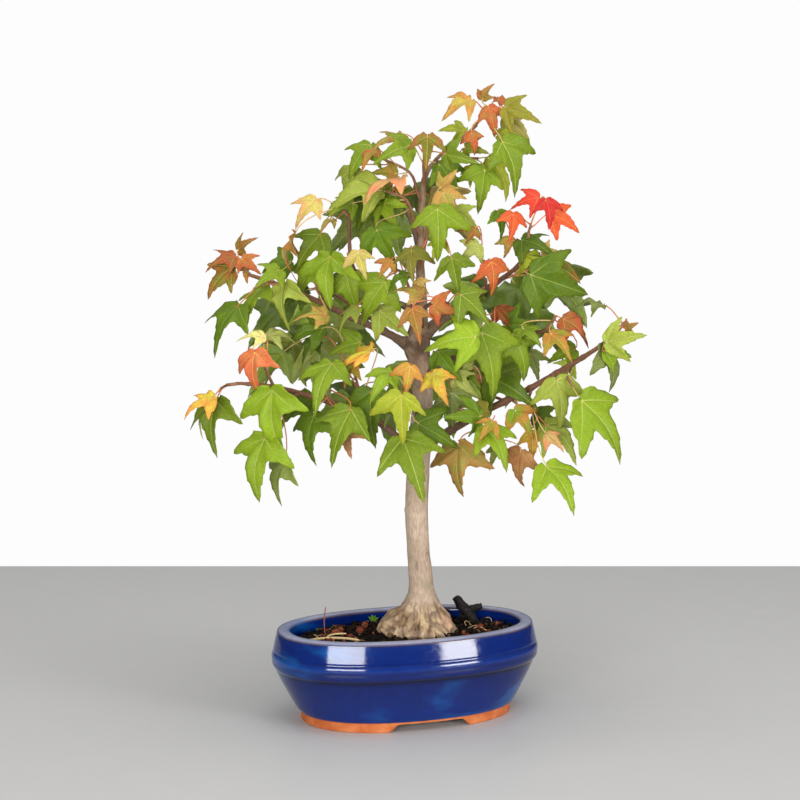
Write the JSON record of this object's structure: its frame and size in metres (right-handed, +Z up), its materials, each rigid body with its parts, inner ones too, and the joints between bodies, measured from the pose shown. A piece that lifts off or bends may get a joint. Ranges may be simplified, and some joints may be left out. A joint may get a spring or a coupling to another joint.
{
  "type": "bonsai tree in a pot",
  "caption": "Small trident maple trained as a bonsai, with a bare trunk, a broad leafy crown and a shallow oval blue-glazed pot on a notched foot.",
  "frame": {"origin": "on the table under the middle of the whole tree's box, a few millimetres from the middle of the pot", "axes": "+Z up the trunk, X along the pot's long axis, -Y towards the front of the tree"},
  "size_m": [0.2532, 0.1858, 0.3718],
  "materials": {
    "blue_glaze": "deep blue gloss glaze over red clay, bare on the foot",
    "potting_mix": "dark damp granular mix",
    "drain_mesh": "black plastic net",
    "maple_bark": "smooth grey-tan bark, fissured at the roots",
    "fired_clay": "matt red-brown grains",
    "charred_wood": "black charred bark",
    "dry_straw": "dry straw",
    "green_leaf": "satin leaf with pale veins",
    "autumn_leaf": "satin orange-red leaf",
    "bronze_leaf": "satin bronze to yellow-green leaf"
  },
  "bodies": {
    "root": {"branch_back_left": "maple_bark", "branch_back_low": "maple_bark", "branch_back_right": "maple_bark", "branch_back_up": "maple_bark", "branch_front_low": "maple_bark", "branch_front_mid": "maple_bark", "branch_left_low": "maple_bark", "branch_left_mid": "maple_bark", "branch_right_low": "maple_bark", "branch_right_mid": "maple_bark", "branch_right_upper": "maple_bark", "branch_upper_left": "maple_bark", "charred_bark": "charred_wood", "drain_mesh_left": "drain_mesh", "drain_mesh_right": "drain_mesh", "dry_stem": "dry_straw", "granule_1": "fired_clay", "granule_2": "fired_clay", "granule_3": "fired_clay", "pot": "blue_glaze", "soil": "potting_mix", "spray_apex": "bronze_leaf", "spray_back_left": "green_leaf", "spray_back_left_low": "green_leaf", "spray_back_low": "green_leaf", "spray_back_low_left": "green_leaf", "spray_back_right": "green_leaf", "spray_back_right_low": "green_leaf", "spray_back_up": "green_leaf", "spray_centre_left": "green_leaf", "spray_far_left": "autumn_leaf", "spray_front_low": "green_leaf", "spray_front_mid": "green_leaf", "spray_front_up": "green_leaf", "spray_left_big": "green_leaf", "spray_left_core": "green_leaf", "spray_left_inner": "green_leaf", "spray_left_low": "green_leaf", "spray_left_mid": "green_leaf", "spray_left_shoulder": "green_leaf", "spray_left_tip": "green_leaf", "spray_left_top": "bronze_leaf", "spray_orange_left": "autumn_leaf", "spray_orange_star": "autumn_leaf", "spray_red": "autumn_leaf", "spray_right_big": "green_leaf", "spray_right_bronze": "autumn_leaf", "spray_right_core": "green_leaf", "spray_right_inner": "green_leaf", "spray_right_low": "green_leaf", "spray_right_mid": "green_leaf", "spray_right_tip": "green_leaf", "spray_right_up": "green_leaf", "spray_upper_left": "green_leaf", "spray_upper_mid": "bronze_leaf", "spray_upper_right": "green_leaf", "spray_withered": "bronze_leaf", "spray_yellow_star": "bronze_leaf", "straw": "dry_straw", "trunk": "maple_bark"}
  },
  "joints": []
}
